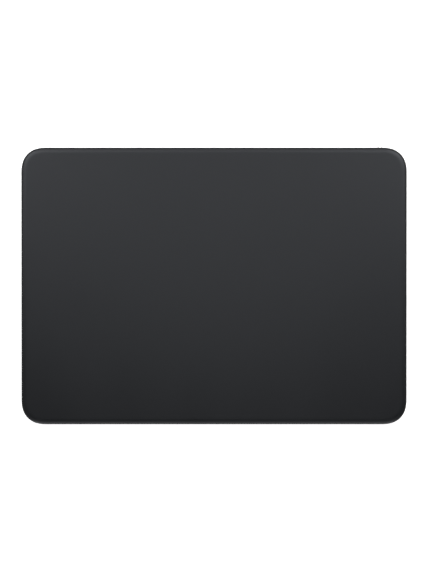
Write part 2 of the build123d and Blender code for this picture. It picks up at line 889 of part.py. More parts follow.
def switch_flex():
    tail = switch_x - switch_board_length / 2 - switch_board_tail
    step = switch_board_tail / 2
    points = side_run(tail)[:2] + [(tail - step, switch_board_top), (tail + step, switch_board_top)]
    return ribbon(points, lane_width, rear_ribbon_y, True)


def touch_flex():
    """Ribbon that hangs in a C from the sensor board to its socket."""
    y = board_front + touch_connector_back
    front = y - touch_ribbon_lead
    rear = y + touch_ribbon_overlap
    points = [(rear, ceiling(rear)), (front, ceiling(front)), (front, connector_top),
              (y + connector_depth / 2, connector_top)]
    return ribbon(points, touch_ribbon_width, 0, False)


pieces = {
    "lower_case": lower_case(),
    "top_glass": top_glass(),
    "glass_adhesive": glass_adhesive(),
    "sensor_bond_film": sensor_bond_film(),
    "touch_sensor_board": touch_sensor_board(),
    "touch_controller_chips": touch_controller_chips(),
    "touch_flex": touch_flex(),
    "strain_gauges": strain_gauges(),
    "flexure_screws": flexure_screws(),
    "sensor_flex_right": sensor_flex_right(),
    "sensor_flex_left": mirror(sensor_flex_right(), about=Plane.YZ),
    "haptic_base_frame": haptic_base_frame(),
    "haptic_core": haptic_core(),
    "haptic_coils": haptic_coils(),
    "haptic_mass": haptic_mass(),
    "haptic_magnets": haptic_magnets(),
    "leaf_spring_right": leaf_spring(1),
    "leaf_spring_left": leaf_spring(-1),
    "haptic_screws": haptic_screws(),
    "haptic_flex": haptic_flex(),
    "battery_cell": battery_cell(),
    "battery_adhesive": battery_adhesive(),
    "battery_protection_board": battery_protection_board(),
    "battery_lead": battery_lead(),
    "logic_board": logic_board(),
    "shield_cans": shield_cans(),
    "board_chips": board_chips(),
    "board_connectors": board_connectors(),
    "board_screws": board_screws(),
    "port_shell": port_shell(),
    "port_tongue": port_tongue(),
    "port_contacts": port_contacts(),
    "port_bracket": port_bracket(),
    "port_screws": port_screws(),
    "antenna_carrier": antenna_carrier(),
    "antenna_element": antenna_element(),
    "antenna_flex": antenna_flex(),
    "power_switch_knob": power_switch_knob(),
    "power_switch_housing": power_switch_housing(),
    "switch_board": switch_board(),
    "switch_screws": switch_screws(),
    "switch_flex": switch_flex(),
}
for name, (x, y) in zip(foot_names, foot_points):
    pieces["foot_pad_" + name] = at_foot(foot_pad(), x, y)
    pieces["foot_carrier_" + name] = at_foot(foot_carrier(), x, y)
    pieces["foot_screw_" + name] = at_foot(foot_screw(), x, y)
    pieces["flexure_" + name] = at_foot(flexure(), x, y)

os.makedirs("parts", exist_ok=True)
for name, shape in pieces.items():
    if isinstance(shape, list):
        shape = Compound(children=shape)
    export_step(shape, "parts/" + name + ".step")
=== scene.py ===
# %% [markdown]
# # A low black trackpad
# The real object is a thin wedge. A dark anodised aluminium case carries one sheet of satin
# etched glass, and four round rubber feet measure how hard the glass is pressed. This notebook
# dresses the measured solids: it builds the pieces that are looked at closely, gives each
# surface a finish made of nodes, and sets a plain studio with the camera straight above.
#
# The solids arrive with plain materials that are named after what they are made of. Those are
# renamed first, so that the finishes built further down can take over the names.

# %% Load the measured solids
import bmesh
import bpy
from math import atan, cos, pi, radians, sin
from mathutils import Euler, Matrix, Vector


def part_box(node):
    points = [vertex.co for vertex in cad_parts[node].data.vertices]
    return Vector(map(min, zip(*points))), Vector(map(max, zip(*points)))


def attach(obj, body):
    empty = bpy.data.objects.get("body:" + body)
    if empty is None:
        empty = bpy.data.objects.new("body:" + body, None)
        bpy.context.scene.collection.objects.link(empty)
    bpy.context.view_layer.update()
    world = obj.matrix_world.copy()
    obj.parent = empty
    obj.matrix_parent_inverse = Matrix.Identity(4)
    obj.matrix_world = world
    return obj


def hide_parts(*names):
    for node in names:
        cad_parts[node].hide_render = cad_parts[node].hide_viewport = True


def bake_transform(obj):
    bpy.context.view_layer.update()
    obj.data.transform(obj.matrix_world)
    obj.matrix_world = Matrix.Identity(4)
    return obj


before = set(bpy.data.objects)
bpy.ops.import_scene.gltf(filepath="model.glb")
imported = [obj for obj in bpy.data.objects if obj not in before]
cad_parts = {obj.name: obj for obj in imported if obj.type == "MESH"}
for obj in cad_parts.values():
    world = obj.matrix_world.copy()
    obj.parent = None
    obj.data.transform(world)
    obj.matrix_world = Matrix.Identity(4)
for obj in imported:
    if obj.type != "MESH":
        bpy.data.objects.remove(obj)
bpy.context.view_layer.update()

mm = 0.001
for plain in list(bpy.data.materials):
    plain.name = "plain_" + plain.name

# %% [markdown]
# A finish is a material. It could be clicked together in the shader editor, but a few small
# helpers do the same and read like a recipe. Each finish starts from the same shader, and every
# value that is the same all over the surface is typed straight into the shader's own sockets.
# Only colour, roughness and relief vary from place to place, so these three are linked.

# %% Tools for finishes
finishes = {}


def start_finish(name, **fixed):
    """A material whose fixed values stand on the shader itself."""
    finish = bpy.data.materials.new(name)
    finish.use_nodes = True
    for socket, value in fixed.items():
        shader_of(finish).inputs[socket.replace("_", " ")].default_value = value
    finishes[name] = finish
    return finish


def shader_of(finish):
    """The shader that every finish starts from."""
    return finish.node_tree.nodes["Principled BSDF"]


def add_node(finish, kind, inputs=(), **settings):
    """Adds a node, sets its options, and links or types its inputs."""
    node = finish.node_tree.nodes.new("ShaderNode" + kind)
    for option, value in settings.items():
        setattr(node, option, value)
    for socket, value in dict(inputs).items():
        if isinstance(value, bpy.types.NodeSocket):
            finish.node_tree.links.new(value, node.inputs[socket])
        else:
            node.inputs[socket].default_value = value
    return node


def dress(finish, colour, roughness, normal=None):
    """Links what varies over the surface to the shader, and counts the nodes."""
    sources = {"Base Color": colour, "Roughness": roughness, "Normal": normal}
    for socket, source in sources.items():
        if source:
            finish.node_tree.links.new(source, shader_of(finish).inputs[socket])
    print(finish.name, len(finish.node_tree.nodes), "nodes")


print("one millimetre is", mm, "metres")

# %% [markdown]
# A photographed texture could be wrapped round each piece, but it would have to be unwrapped
# and would blur close up. Noise needs neither. It reads the object's own coordinates in metres,
# so a grain of a tenth of a millimetre has that size on every piece, and it stays put when a
# piece moves. Noise runs from 0 to 1 and seldom leaves its middle, so that middle is what is
# spread between two values of roughness or blended between two close colours.

# %% Patterns for finishes
noise_start, noise_end = 0.3, 0.7


def place_on_piece(finish, stretch=(1, 1, 1), turn=(0, 0, 0)):
    """The object's own coordinates, squeezed or turned before a pattern reads them."""
    where = add_node(finish, "TexCoord").outputs["Object"]
    inputs = {"Vector": where, "Scale": stretch, "Rotation": turn}
    return add_node(finish, "Mapping", inputs).outputs[0]


def cloud(finish, size, stretch=(1, 1, 1), detail=2.0):
    """Soft noise with blotches of a given size."""
    where = place_on_piece(finish, stretch)
    inputs = {"Vector": where, "Scale": 1 / size, "Detail": detail, "Roughness": 0.55}
    return add_node(finish, "TexNoise", inputs).outputs["Fac"]


def spread(finish, pattern, low, high, start=noise_start, end=noise_end):
    """Turns a pattern into values that go from low to high."""
    inputs = {"Value": pattern, "From Min": start, "From Max": end,
              "To Min": low, "To Max": high}
    return add_node(finish, "MapRange", inputs).outputs["Result"]


def two_colours(finish, pattern, first, second):
    """Blends between two colours as a pattern rises."""
    ramp = add_node(finish, "ValToRGB", {"Fac": pattern})
    stops = zip(ramp.color_ramp.elements, (noise_start, noise_end), (first, second))
    for stop, place, colour in stops:
        stop.position = place
        stop.color = (*colour, 1)
    return ramp.outputs["Color"]


def relief(finish, heights, depth):
    """Fine height detail, as deep as given in metres."""
    inputs = {"Height": heights, "Distance": depth, "Strength": 1.0}
    return add_node(finish, "Bump", inputs).outputs["Normal"]


print("noise is read from", noise_start, "to", noise_end)

# %% [markdown]
# The glass is etched on its face, so it looks like very dark satin and not like a mirror. The
# etching is a grain far finer than a tenth of a millimetre, which a mesh could never carry, so
# it is a relief. Fingers leave wide, faint smears that only change how sharp the gloss is, so
# they go to the roughness and hardly to the colour.

# %% Satin etched glass
cool_tint = (0.90, 0.935, 1.0, 1)
satin_glass = start_finish("satin_glass", IOR=1.5, Specular_IOR_Level=0.31,
                           Specular_Tint=cool_tint)
etching = cloud(satin_glass, 0.09 * mm, detail=1.0)
smears = cloud(satin_glass, 26 * mm, stretch=(1.0, 0.55, 1.0), detail=3.0)
clean_black, smeared_black = (0.0030, 0.0033, 0.0038), (0.0038, 0.0041, 0.0047)
dress(satin_glass,
      colour=two_colours(satin_glass, smears, clean_black, smeared_black),
      roughness=spread(satin_glass, smears, 0.34, 0.38),
      normal=relief(satin_glass, etching, 0.002 * mm))

# %% [markdown]
# The rounding of the glass is ground and polished after the face is etched. It is smoother than
# the face, but it is thin and dark, so it throws back less. A finish of its own keeps the two
# apart. Noise squeezed six times in height draws the faint lines that the grinding wheel
# leaves along the edge.

# %% Ground edge of the glass
ground_edge = start_finish("ground_edge", IOR=1.5, Specular_IOR_Level=0.32,
                           Specular_Tint=cool_tint)
wheel_lines = cloud(ground_edge, 0.12 * mm, stretch=(1, 1, 6))
edge_black, edge_grey = (0.0090, 0.0093, 0.0100), (0.0110, 0.0113, 0.0120)
dress(ground_edge,
      colour=two_colours(ground_edge, wheel_lines, edge_black, edge_grey),
      roughness=spread(ground_edge, wheel_lines, 0.24, 0.30),
      normal=relief(ground_edge, wheel_lines, 0.001 * mm))

# %% [markdown]
# Wear shows where a piece is slid or touched, and nowhere else. Painting it by hand would tie
# it to one mesh. A mask does it by rule: it is 1 at such a place and 0 elsewhere, here by how
# far a point lies along one axis of its object. Masks are multiplied, and then one colour is
# laid over another through them. The Mix node has a set of sockets for each kind of data, so a
# small table says which two go in and which one comes out.

# %% Masks for wear
mix_sockets = {"FLOAT": (2, 3, 0), "VECTOR": (4, 5, 1), "RGBA": (6, 7, 2)}


def blended(finish, mask, first, second, kind):
    """Goes from a first source to a second one where a mask is bright."""
    a, b, result = mix_sockets[kind]
    return add_node(finish, "Mix", {0: mask, a: first, b: second}, data_type=kind).outputs[result]


def lay_over(finish, mask, under, over):
    """Shows a plain colour over a pattern of colours where a mask is bright."""
    return blended(finish, mask, under, (*over, 1), "RGBA")


def reckon(finish, operation, *values):
    """One step of arithmetic on numbers or patterns."""
    return add_node(finish, "Math", dict(enumerate(values)), operation=operation).outputs[0]


def along_axis(finish, axis):
    """How far a point lies along one axis of its object, in metres."""
    where = add_node(finish, "TexCoord").outputs["Object"]
    return add_node(finish, "SeparateXYZ", {"Vector": where}).outputs[axis]


def above(finish, low, high):
    """A mask that climbs softly from 0 to 1 between two heights."""
    inputs = {"Value": along_axis(finish, "Z"), "From Min": low, "From Max": high}
    climb = add_node(finish, "MapRange", inputs, interpolation_type="SMOOTHSTEP")
    return climb.outputs["Result"]


print("kinds of blend:", ", ".join(mix_sockets))

# %% [markdown]
# The case is blasted with fine beads and then dyed black in the anodising bath. Blasting leaves
# tiny pits, and the dye takes a little unevenly, so one fine and one wide noise are used. A
# case that is slid on and off a desk gets its first bare flecks on the lowest rounding, so a
# mask by height lets them through there.

# %% Black anodised aluminium
anodised = start_finish("anodised_aluminium", Metallic=0.55, IOR=1.6)
pits = cloud(anodised, 0.12 * mm)
dye = cloud(anodised, 14 * mm, detail=3.0)
dyed = two_colours(anodised, dye, (0.026, 0.0265, 0.0285), (0.031, 0.0315, 0.0335))
flecks = cloud(anodised, 1.3 * mm, stretch=(0.25, 1, 1), detail=5.0)
scuffs = spread(anodised, flecks, 0, 1, start=0.6, end=0.72)
off_the_desk = above(anodised, 0.7 * mm, 1.4 * mm)
low_edge = spread(anodised, off_the_desk, 0.22, 0, start=0, end=1)
worn = reckon(anodised, "MULTIPLY", scuffs, low_edge)
dress(anodised,
      colour=lay_over(anodised, worn, dyed, over=(0.11, 0.11, 0.115)),
      roughness=spread(anodised, pits, 0.36, 0.48),
      normal=relief(anodised, pits, 0.006 * mm))

# %% [markdown]
# Moulded plastic is not metal and shines little. It shows the spark-eroded grain of its mould,
# a few hundredths of a millimetre deep at most, and the melt leaves faint clouds of colour where
# it flowed. Plastics, tapes and films differ only in shade, gloss and grain, so one recipe
# makes all eight.

# %% Moulded plastics
uneven_gloss = 0.08


def moulded(name, dark, light, roughness, grain=0.15 * mm, depth=0.008 * mm):
    """A moulded finish: a little uneven in colour, with the grain of its mould."""
    finish = start_finish(name, IOR=1.48)
    skin = cloud(finish, grain)
    flow = cloud(finish, 4 * mm, detail=3.0)
    dress(finish,
          colour=two_colours(finish, flow, dark, light),
          roughness=spread(finish, flow, roughness, roughness + uneven_gloss),
          normal=relief(finish, skin, depth))
    return finish


plastics = (
    ("foam_tape", (0.012, 0.012, 0.012), (0.020, 0.020, 0.020), 0.85, 0.3 * mm, 0.03 * mm),
    ("bond_film", (0.55, 0.55, 0.53), (0.62, 0.62, 0.60), 0.25, 0.4 * mm, 0.002 * mm),
    ("chip_plastic", (0.016, 0.016, 0.018), (0.023, 0.023, 0.025), 0.55, 0.08 * mm),
    ("socket_plastic", (0.055, 0.045, 0.040), (0.070, 0.058, 0.050), 0.5),
    ("port_plastic", (0.012, 0.012, 0.012), (0.017, 0.017, 0.017), 0.45, 0.08 * mm),
    ("antenna_plastic", (0.026, 0.026, 0.027), (0.034, 0.034, 0.035), 0.5),
    ("switch_plastic", (0.026, 0.0265, 0.028), (0.032, 0.0325, 0.034), 0.42, 0.1 * mm),
    ("glue_tape", (0.68, 0.68, 0.65), (0.76, 0.76, 0.73), 0.6, 0.6 * mm, 0.01 * mm))
for plastic in plastics:
    moulded(*plastic)

# %% [markdown]
# Rubber is moulded too, but duller and with a coarser grain. It picks up lint and grey dust
# where it rests on the desk. Lint is noise stretched into threads, and it goes through a mask
# that is open only on the lowest 0.15 mm. The mix then takes the place of the plain colour.

# %% Rubber with dust on its face
elastomer = moulded("elastomer", (0.020, 0.020, 0.021), (0.027, 0.027, 0.028), 0.72, 0.25 * mm)
lint = cloud(elastomer, 0.5 * mm, stretch=(1, 0.2, 1), detail=6.0)
off_the_desk = above(elastomer, 0.0, 0.15 * mm)
desk_side = spread(elastomer, off_the_desk, 1, 0, start=0, end=1)
threads = spread(elastomer, lint, 0, 0.5, start=0.58, end=0.7)
dusty = reckon(elastomer, "MULTIPLY", threads, desk_side)
rubber = shader_of(elastomer).inputs["Base Color"].links[0].from_socket
dusted = lay_over(elastomer, dusty, rubber, over=(0.10, 0.10, 0.098))
elastomer.node_tree.links.new(dusted, shader_of(elastomer).inputs["Base Color"])
print("elastomer with dust:", len(elastomer.node_tree.nodes), "nodes")

# %% [markdown]
# Sheet metal is rolled, so its fine scratches run one way. Noise that is stretched twenty times
# along one axis draws such lines, with no picture of scratches that could repeat. A blotch of
# another size moves the shade a little, as oil and handling do. Turned and cast pieces use the
# same recipe with the stretch taken out.

# %% Rolled sheet and turned metal
rubbed_bright, handled_dull, scratch_gloss = 1.04, 0.95, 0.14


def rolled(name, colour, roughness, along=(0.05, 1, 1), line=0.08 * mm, depth=0.003 * mm):
    """A metal with fine lines along its rolling direction."""
    finish = start_finish(name, Metallic=1.0)
    lines = cloud(finish, line, along, detail=3.0)
    patina = cloud(finish, 3 * mm, detail=4.0)
    bright = [min(1.0, part * rubbed_bright) for part in colour]
    dull = [part * handled_dull for part in colour]
    dress(finish,
          colour=two_colours(finish, patina, dull, bright),
          roughness=spread(finish, lines, roughness, roughness + scratch_gloss),
          normal=relief(finish, lines, depth))
    return finish


metals = (
    ("steel", (0.52, 0.52, 0.53), 0.30),
    ("spring_steel", (0.46, 0.46, 0.47), 0.24, (1, 0.05, 1)),
    ("screw_steel", (0.20, 0.20, 0.21), 0.34, (1, 1, 0.2)),
    ("iron_core", (0.30, 0.30, 0.31), 0.42, (1, 1, 1), 0.2 * mm, 0.01 * mm),
    ("tungsten", (0.31, 0.31, 0.32), 0.38, (1, 1, 1), 0.15 * mm, 0.008 * mm),
    ("magnet_plating", (0.62, 0.60, 0.57), 0.16),
    ("shield_metal", (0.60, 0.60, 0.59), 0.28),
    ("port_steel", (0.42, 0.42, 0.43), 0.26),
    ("gold_contact", (0.80, 0.58, 0.24), 0.22, (1, 0.05, 1), 0.05 * mm),
    ("copper_foil", (0.72, 0.36, 0.22), 0.30))
for metal in metals:
    rolled(*metal)

# %% [markdown]
# The power cell is sealed in a soft laminated foil, which wrinkles slightly. The wrinkles are
# too shallow to be worth a mesh. Wide noise in the relief bends the reflections the way such a
# pouch does, and a fine weave breaks the gloss.

# %% Pouch foil of the power cell
pouch_foil = start_finish("pouch_foil", Metallic=0.25, IOR=1.5)
wrinkles = cloud(pouch_foil, 7 * mm, stretch=(1, 0.6, 1), detail=4.0)
weave = cloud(pouch_foil, 0.2 * mm, detail=1.0)
dress(pouch_foil,
      colour=two_colours(pouch_foil, wrinkles, (0.10, 0.10, 0.105), (0.14, 0.14, 0.148)),
      roughness=spread(pouch_foil, weave, 0.34, 0.46),
      normal=relief(pouch_foil, wrinkles, 0.12 * mm))

# %% [markdown]
# Ribbons are layers: a film, copper lines along its length, and an amber film over both. The
# lines could be modelled one by one, but rows of a brick pattern whose bricks are far longer
# than the ribbon give the same look for one node. They run along the ribbon, so a ribbon that
# crosses the case the other way gets the same pattern turned, and the side ribbons turn it
# only in the lanes left and right where they run toward the rear.

# %% Ribbons and gauge films
quarter_turn = pi / 2
thick_film, gloss_on_copper = 0.85, 0.1


def ribbon_of(name, skin, line, pitch, gap, roughness, turn=0.0, run=400.0, lane=None):
    """Thin copper lines under a coloured film, turned on a lane at both sides if there is one."""
    finish = start_finish(name, IOR=1.52, Coat_Weight=0.15, Coat_Roughness=0.25)
    where = place_on_piece(finish, turn=(0, 0, turn))
    if lane:
        side = reckon(finish, "ABSOLUTE", along_axis(finish, "X"))
        on_lane = reckon(finish, "COMPARE", side, *lane)
        turned_there = place_on_piece(finish, turn=(0, 0, quarter_turn))
        where = blended(finish, on_lane, where, turned_there, "VECTOR")
    inputs = {"Vector": where, "Scale": 1 / pitch, "Mortar Size": gap, "Mortar Smooth": 0.2,
              "Brick Width": run, "Row Height": 1.0, "Bias": 0.0}
    tracks = add_node(finish, "TexBrick", inputs, offset=0.35).outputs["Fac"]
    dark_skin = [part * thick_film for part in skin]
    shade = two_colours(finish, cloud(finish, 5 * mm), dark_skin, skin)
    dress(finish,
          colour=lay_over(finish, tracks, shade, line),
          roughness=spread(finish, tracks, roughness, roughness - gloss_on_copper, 0, 1),
          normal=relief(finish, tracks, 0.008 * mm))


amber = dict(skin=(0.20, 0.085, 0.022), line=(0.30, 0.14, 0.04), pitch=0.5 * mm, gap=0.22,
             roughness=0.36)
lane_middle, lane_half = 57.0 * mm, 1.2 * mm
ribbon_of("ribbon_film", **amber)
ribbon_of("ribbon_turned", **amber, turn=quarter_turn)
ribbon_of("ribbon_side", **amber, lane=(lane_middle, lane_half))
ribbon_of("gauge_film", skin=(0.38, 0.22, 0.07), line=(0.55, 0.42, 0.24), pitch=0.3 * mm,
          gap=0.2, roughness=0.34, run=8.0)

# %% [markdown]
# On a circuit board the copper runs in bundles: here along the board, there across it, with
# small round vias where a line changes layer. Stripes in both directions give the lines. Square
# cells of a Voronoi pattern choose, place by place, which bundle shows and where the board
# stays bare. Green mask covers everything, so the copper only shows as a lighter, raised green.

# %% Circuit board
track_pitch, track_width, patch_size, via_distance = 0.42 * mm, 0.16 * mm, 3.2 * mm, 2.1 * mm
sharp_step = 0.01


def stripes(finish, axis):
    """Thin lines at a set distance along one axis: 1 on a line and 0 beside it."""
    swing = reckon(finish, "PINGPONG", along_axis(finish, axis), track_pitch / 2)
    return reckon(finish, "LESS_THAN", swing, track_width / 2)


def cells(finish, size, **settings):
    """Cells of one size, each with a colour and with the distance to its middle."""
    inputs = {"Vector": place_on_piece(finish), "Scale": 1 / size}
    return add_node(finish, "TexVoronoi", inputs, **settings).outputs


board = start_finish("circuit_board", IOR=1.52, Coat_Weight=0.2, Coat_Roughness=0.2)
patch_colour = cells(board, patch_size, distance="CHEBYCHEV")["Color"]
choice = add_node(board, "SeparateColor", {"Color": patch_colour}).outputs
lengthwise, crosswise = stripes(board, "Y"), stripes(board, "X")
use_cross = spread(board, choice[0], 0, 1, start=0.55, end=0.55 + sharp_step)
bundle = blended(board, use_cross, lengthwise, crosswise, "FLOAT")
filled = spread(board, choice[1], 0, 1, start=0.35, end=0.35 + sharp_step)
vias = spread(board, cells(board, via_distance)["Distance"], 1, 0, start=0.11, end=0.13)
copper = reckon(board, "MAXIMUM", reckon(board, "MULTIPLY", bundle, filled), vias)
mask_green = two_colours(board, cloud(board, 6 * mm), (0.010, 0.034, 0.022), (0.013, 0.043, 0.028))
dress(board,
      colour=lay_over(board, copper, mask_green, over=(0.030, 0.090, 0.052)),
      roughness=spread(board, copper, 0.42, 0.32, start=0, end=1),
      normal=relief(board, copper, 0.01 * mm))

# %% [markdown]
# Enamelled wire is copper under a clear amber skin. The turns of a coil lie side by side, and
# their shape comes from a real mesh further down, so the finish only adds the enamel's gloss,
# as a coat on the shader, and small colour changes from turn to turn.

# %% Enamelled copper wire
copper_wire = start_finish("copper_wire", Metallic=0.9, Coat_Weight=0.6, Coat_Roughness=0.12)
enamel_run = cloud(copper_wire, 0.5 * mm, detail=3.0)
dress(copper_wire,
      colour=two_colours(copper_wire, enamel_run, (0.48, 0.17, 0.07), (0.66, 0.28, 0.12)),
      roughness=spread(copper_wire, enamel_run, 0.24, 0.34),
      normal=relief(copper_wire, enamel_run, 0.01 * mm))

# %% [markdown]
# Each solid came in with a slot name that says what it is made of. The finishes above carry
# the same names, so one loop can hand them out. Only the ribbons whose lines run another way
# are named one by one.

# %% Give every solid its finish
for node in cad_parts.values():
    for holder in node.material_slots:
        holder.material = finishes[holder.material.name.removeprefix("plain_")]
for name in ("haptic_flex", "battery_lead", "touch_flex"):
    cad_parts[name].material_slots[0].material = finishes["ribbon_turned"]
for name in ("sensor_flex_left", "sensor_flex_right"):
    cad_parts[name].material_slots[0].material = finishes["ribbon_side"]
print("finishes given to", len(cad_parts), "solids")

# %% [markdown]
# A new piece is drawn as a mesh with bmesh, which keeps it a list of points and faces until it
# is done. Then it becomes an object with a finish and a name, rides on the body that carries
# it, and stands for the plain solid in the same place, if there is one. Smooth shading is only
# broken where two faces meet at more than a given angle.


def finish_piece(name, mesh_data, finish, body=None, replaced=(), smooth=40):
    """Turns a bmesh into a named piece, which rides on a body if one is given."""
    bmesh.ops.recalc_face_normals(mesh_data, faces=mesh_data.faces)
    mesh = bpy.data.meshes.new(name)
    mesh_data.to_mesh(mesh)
    mesh_data.free()
    mesh.materials.append(finish)
    piece = bpy.data.objects.new(name, mesh)
    bpy.context.scene.collection.objects.link(piece)
    for face in mesh.polygons:
        face.use_smooth = True
    mesh.set_sharp_from_angle(angle=radians(smooth))
    if body:
        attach(piece, body)
    if replaced:
        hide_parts(*replaced)
    print(name, len(mesh.polygons), "faces")
    return piece


# %% [markdown]
# Most pieces here can be drawn as rings of points that lie over one another and are joined,
# like the hoops of a barrel. The first and last ring become flat faces, or are joined to each
# other, so the skin is closed and the piece is a solid body that can be exported and printed.

# %% Join rings of points


def join_rings(mesh_data, rings, closed=False):
    """Joins rings of points with four-sided faces and closes the first and last ring."""
    loops = [[mesh_data.verts.new(point) for point in ring] for ring in rings]
    pairs = list(zip(loops, loops[1:]))
    if closed:
        pairs.append((loops[-1], loops[0]))
    for lower, upper in pairs:
        count = len(lower)
        for i in range(count):
            j = (i + 1) % count
            mesh_data.faces.new((lower[i], lower[j], upper[j], upper[i]))
    if not closed:
        mesh_data.faces.new(list(reversed(loops[0])))
        mesh_data.faces.new(loops[-1])


trial = bmesh.new()
join_rings(trial, [[(0, 0, z), (1, 0, z), (0, 1, z)] for z in (0, 1)])
print("two rings of three points give", len(trial.faces), "faces")
trial.free()

# %% [markdown]
# The corners of the plate are not plain quarter circles. The edge turns gently at first, then
# tighter, then gently again, which the eye reads as one soft sweep. The outline below walks
# round the plate and keeps, for each point, the direction that looks outward. Moving every
# point along that direction gives a smaller outline of the same character. The deck slopes, so
# the outline is drawn flat and then tilted into place.

# %% Outline of the plate
width, depth = 160.0, 114.9
front_height, rear_height = 4.9, 10.9
slope = atan((rear_height - front_height) / depth)
middle_height = (front_height + rear_height) / 2
gentle, tight, gentle_bend, tight_bend = 14.0, 8.25, 15, 60
corner_arcs = ((gentle, gentle_bend), (tight, tight_bend), (gentle, gentle_bend))
steps_per_degree = 0.4


def outline(inset, height):
    """Points round the plate, drawn in the sloping deck and then lifted into place."""
    half_x, half_y = width / 2, depth / 2 / cos(slope)
    turn = radians(gentle_bend)
    reach = gentle * sin(turn) + tight * (cos(turn) - sin(turn)) + gentle * (1 - cos(turn))
    points = []
    for quarter, (across, along) in enumerate(((half_x, half_y), (half_y, half_x)) * 2):
        pen, heading = Vector((across - reach, -along)), 0.0
        for radius, bend in corner_arcs:
            steps = max(2, round(bend * steps_per_degree))
            centre = pen + radius * Vector((-sin(heading), cos(heading)))
            for i in range(steps + 1):
                angle = heading + radians(bend) * i / steps
                outward = Vector((sin(angle), -cos(angle)))
                if i or heading == 0.0:  # later arcs start where the one before them ended
                    points.append((centre + (radius - inset) * outward, quarter))
            heading += radians(bend)
            pen = centre + radius * Vector((sin(heading), -cos(heading)))
    placed = []
    for point, quarter in points:
        swing = quarter * quarter_turn
        x = point.x * cos(swing) - point.y * sin(swing)
        y = point.x * sin(swing) + point.y * cos(swing)
        placed.append((x * mm, (y * cos(slope) - height * sin(slope)) * mm,
                       (middle_height + y * sin(slope) + height * cos(slope)) * mm))
    return placed


print("outline points:", len(outline(0, 0)))

# %% [markdown]
# The glass is one millimetre thick. Its upper edge is ground into a long rounding, wider than
# it is high, and its lower edge only has the sharpness taken off. A bevel modifier would round
# it as much across as down, so the edge is drawn as rings at rising heights instead. One more
# ring just inside it keeps the large face truly flat in the light. The etching runs a little
# way down the rounding, so only the outermost millimetre is polished.

# %% Glass plate
glass_inset, glass_thickness, edge_drop, edge_reach, lower_bevel = 0.1, 1.0, 0.8, 2.3, 0.06
edge_steps, flat_margin, polished_reach = 14, 0.25, 1.0
profile = [(glass_inset + 3 * lower_bevel, -glass_thickness),
           (glass_inset + lower_bevel, -glass_thickness),
           (glass_inset, lower_bevel - glass_thickness)]
for i in range(edge_steps + 1):
    angle = quarter_turn * i / edge_steps
    profile.append((glass_inset + edge_reach * (1 - cos(angle)), edge_drop * (sin(angle) - 1)))
profile.append((glass_inset + edge_reach + flat_margin, 0.0))
glass = bmesh.new()
join_rings(glass, [outline(inset, height) for inset, height in profile])
plate = finish_piece("glass_plate", glass, satin_glass, "case", ["top_glass"], smooth=30)
plate.data.materials.append(ground_edge)
polished_rings = sum(inset < polished_reach for inset, height in profile) - 1
per_ring = len(outline(0, 0))
for face in plate.data.polygons[:polished_rings * per_ring]:
    face.material_index = 1
print("polished faces:", polished_rings * per_ring)

# %% [markdown]
# A foot pad is a moulded rubber disc. Its face is crowned by a few hundredths of a millimetre,
# its rim is rounded so that it doesn't peel, and a shallow ring groove lets air out when it
# is pressed on to the desk. A profile turned round an upright axis, as on a lathe, gives all
# three in one sweep.

# %% A profile turned on a lathe
steps_round, rim_steps = 72, 6


def turned(mesh_data, profile, centre):
    """Turns a profile of radius and height round an upright axis."""
    angles = [2 * pi * i / steps_round for i in range(steps_round)]
    join_rings(mesh_data, [[(centre[0] + radius * cos(angle), centre[1] + radius * sin(angle),
                             height) for angle in angles] for radius, height in profile])


def rounded(centre, radius, start, end):
    """Points along an arc, as radius and height pairs, between two angles in degrees."""
    angles = [radians(start + (end - start) * i / rim_steps) for i in range(rim_steps + 1)]
    return [(centre[0] + radius * cos(angle), centre[1] + radius * sin(angle))
            for angle in angles]


print("points on a rim:", len(rounded((0, 0), 1, -90, 0)))

# %% [markdown]
# The four pads are alike, so one profile serves them all. The measured solid says where each
# one sits and how high it reaches, and the pad rides on its own foot, which moves by itself.

# %% Foot pads
corners = ("front_left", "front_right", "rear_left", "rear_right")
pad_radius, pad_rim, crown = 5.2, 0.35, 0.02
groove, shoulder, groove_side, groove_depth = 3.9, 0.25, 0.12, 0.07
flat_rings, inner_rise, outer_rise = (0.3, 2.6), 0.01, 0.015


def pad_profile(top):
    """Radius and height pairs from the middle of the face, out round the rim, to the top."""
    face = [(radius, 0.0) for radius in flat_rings]
    face += [(groove - shoulder, inner_rise), (groove - groove_side, groove_depth),
             (groove + groove_side, groove_depth), (groove + shoulder, outer_rise)]
    rim = rounded((pad_radius - pad_rim, pad_rim + crown), pad_rim, -90, 0)
    pairs = [(radius * mm, height * mm) for radius, height in face + rim]
    return pairs + [(pad_radius * mm, top)]


for place in corners:
    low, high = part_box("foot_pad_" + place)
    pad = bmesh.new()
    turned(pad, pad_profile(high.z), ((low.x + high.x) / 2, (low.y + high.y) / 2))
    finish_piece("rubber_pad_" + place, pad, elastomer, "foot_" + place, ["foot_pad_" + place],
                 smooth=50)

# %% [markdown]
# Inside, the actuator shakes its weight with two coils. A coil is one long wire wound round an
# iron bar, so its skin is a screw thread of fine turns. A tube for each turn would cost many
# faces that nobody sees. The ring of points below swells and shrinks once per turn of wire, and
# the swelling moves on by one turn on the way round the bar, which gives a true winding.

# %% One ring of a winding
coil_low, coil_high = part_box("haptic_coils")
middle_y, middle_z = (coil_low.y + coil_high.y) / 2, (coil_low.z + coil_high.z) / 2
quarter_signs, points_per_corner = ((1, 1), (-1, 1), (-1, -1), (1, -1)), 7


